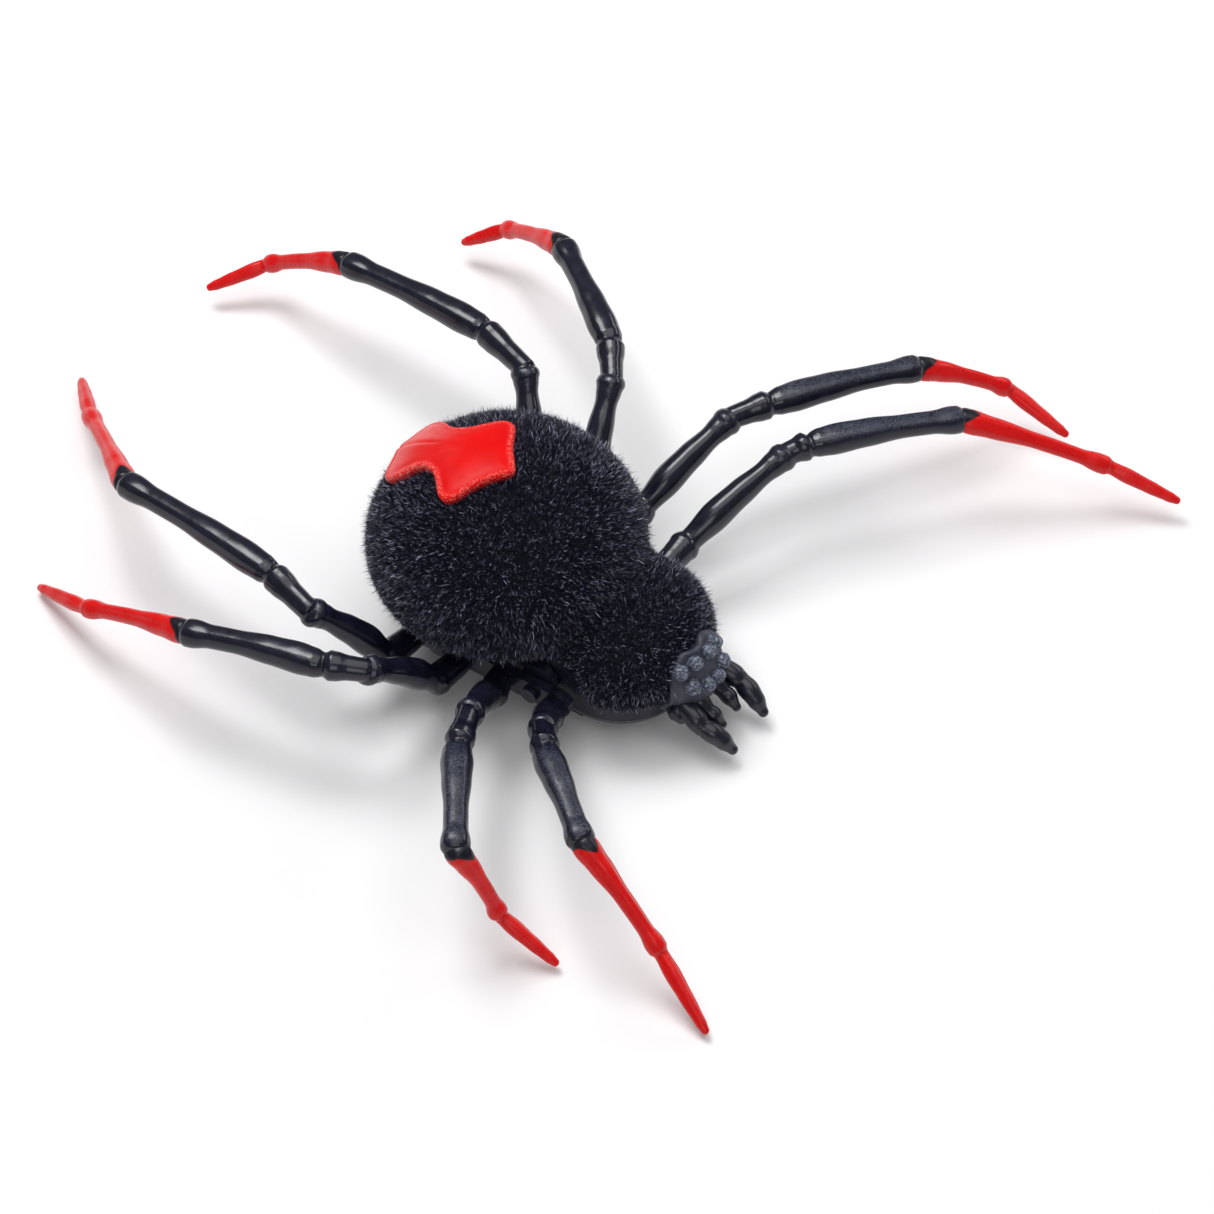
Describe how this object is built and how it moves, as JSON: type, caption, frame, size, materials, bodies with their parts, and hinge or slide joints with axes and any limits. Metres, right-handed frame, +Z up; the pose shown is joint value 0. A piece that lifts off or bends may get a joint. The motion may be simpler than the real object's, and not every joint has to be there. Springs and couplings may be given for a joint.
{
  "type": "crawling toy spider",
  "caption": "Furry battery-driven crawling spider toy: soft jointed-look legs on two crank-driven side rods, furred domed body, raised red hourglass plate, bare moulded face.",
  "frame": {"origin": "centre of the flat belly plinth that the body rests on, on the supporting surface", "axes": "+X towards the head, +Y to the spider's left, +Z up"},
  "size_m": [0.2016, 0.1682, 0.046],
  "materials": {
    "moulded_black": "satin",
    "fur": "short dense pile",
    "red_gloss": "gloss",
    "head_plastic": "matte",
    "leg_rubber": "semi-gloss soft moulding",
    "tip_rubber": "semi-gloss soft moulding",
    "steel": "bright",
    "motor_can": "zinc plated",
    "nylon": "natural",
    "bronze": "satin",
    "board": "solder mask",
    "wire_cover": "smooth"
  },
  "bodies": {
    "chassis": {"belly_pan": "moulded_black", "battery_cover": "moulded_black", "cover_screw": "steel", "upper_shell": "moulded_black", "fur_cover": "fur", "hourglass_badge": "red_gloss", "face_plate": "head_plastic", "eyes": "head_plastic", "outer_palps": "leg_rubber", "inner_palps": "leg_rubber", "shell_screws": "steel", "button_cells": "steel", "cell_contacts": "bronze", "circuit_board": "board", "switch_body": "steel", "wires": "wire_cover", "motor": "motor_can", "gear_plate_outer": "nylon", "gear_plate_inner": "nylon", "plate_posts": "steel", "axle_bushes": "bronze"},
    "switch": {"switch_knob": "nylon"},
    "motor_rotor": {"motor_pinion": "nylon"},
    "first_wheel": {"compound_gear_1": "nylon"},
    "second_wheel": {"compound_gear_2": "nylon"},
    "drive_shaft": {"drive_gear": "nylon", "drive_axle": "steel", "rear_crank_left": "moulded_black", "rear_crank_right": "moulded_black", "rear_pin_caps": "moulded_black"},
    "front_shaft": {"front_axle": "steel", "front_crank_left": "moulded_black", "front_crank_right": "moulded_black", "front_pin_caps": "moulded_black"},
    "left_walker": {"side_rod_left": "moulded_black", "left_leg_1": "leg_rubber", "left_leg_2": "leg_rubber", "left_leg_3": "leg_rubber", "left_leg_4": "leg_rubber", "left_tip_1": "tip_rubber", "left_tip_2": "tip_rubber", "left_tip_3": "tip_rubber", "left_tip_4": "tip_rubber"},
    "right_walker": {"side_rod_right": "moulded_black", "right_leg_1": "leg_rubber", "right_leg_2": "leg_rubber", "right_leg_3": "leg_rubber", "right_leg_4": "leg_rubber", "right_tip_1": "tip_rubber", "right_tip_2": "tip_rubber", "right_tip_3": "tip_rubber", "right_tip_4": "tip_rubber"}
  },
  "joints": [
    {"name": "drive_turn", "type": "hinge", "parent": "chassis", "child": "drive_shaft", "pos_m": [-0.017, 0, 0.011], "axis": [0, 1, 0], "continuous": true},
    {"name": "front_turn", "type": "hinge", "parent": "chassis", "child": "front_shaft", "pos_m": [0.004, 0, 0.011], "axis": [0, 1, 0], "continuous": true},
    {"name": "second_wheel_turn", "type": "hinge", "parent": "chassis", "child": "second_wheel", "pos_m": [-0.01907, 0.0076, 0.01873], "axis": [0, 1, 0], "continuous": true},
    {"name": "first_wheel_turn", "type": "hinge", "parent": "chassis", "child": "first_wheel", "pos_m": [-0.01507, 0.0102, 0.02566], "axis": [0, 1, 0], "continuous": true},
    {"name": "motor_turn", "type": "hinge", "parent": "chassis", "child": "motor_rotor", "pos_m": [-0.00719, 0.0102, 0.02427], "axis": [0, 1, 0], "continuous": true},
    {"name": "left_rod_turn", "type": "hinge", "parent": "drive_shaft", "child": "left_walker", "pos_m": [-0.017, 0.0179, 0.0125], "axis": [0, 1, 0], "continuous": true},
    {"name": "right_rod_turn", "type": "hinge", "parent": "drive_shaft", "child": "right_walker", "pos_m": [-0.017, -0.0179, 0.0095], "axis": [0, 1, 0], "continuous": true},
    {"name": "switch_slide", "type": "slide", "parent": "chassis", "child": "switch", "axis": [1, 0, 0], "range_m": [0, 0.002]}
  ],
  "couplings": [
    {"joint": "front_turn", "follows": "drive_turn", "ratio": 1},
    {"joint": "second_wheel_turn", "follows": "drive_turn", "ratio": -3},
    {"joint": "first_wheel_turn", "follows": "drive_turn", "ratio": 9},
    {"joint": "motor_turn", "follows": "drive_turn", "ratio": -27},
    {"joint": "left_rod_turn", "follows": "drive_turn", "ratio": -1},
    {"joint": "right_rod_turn", "follows": "drive_turn", "ratio": -1}
  ]
}
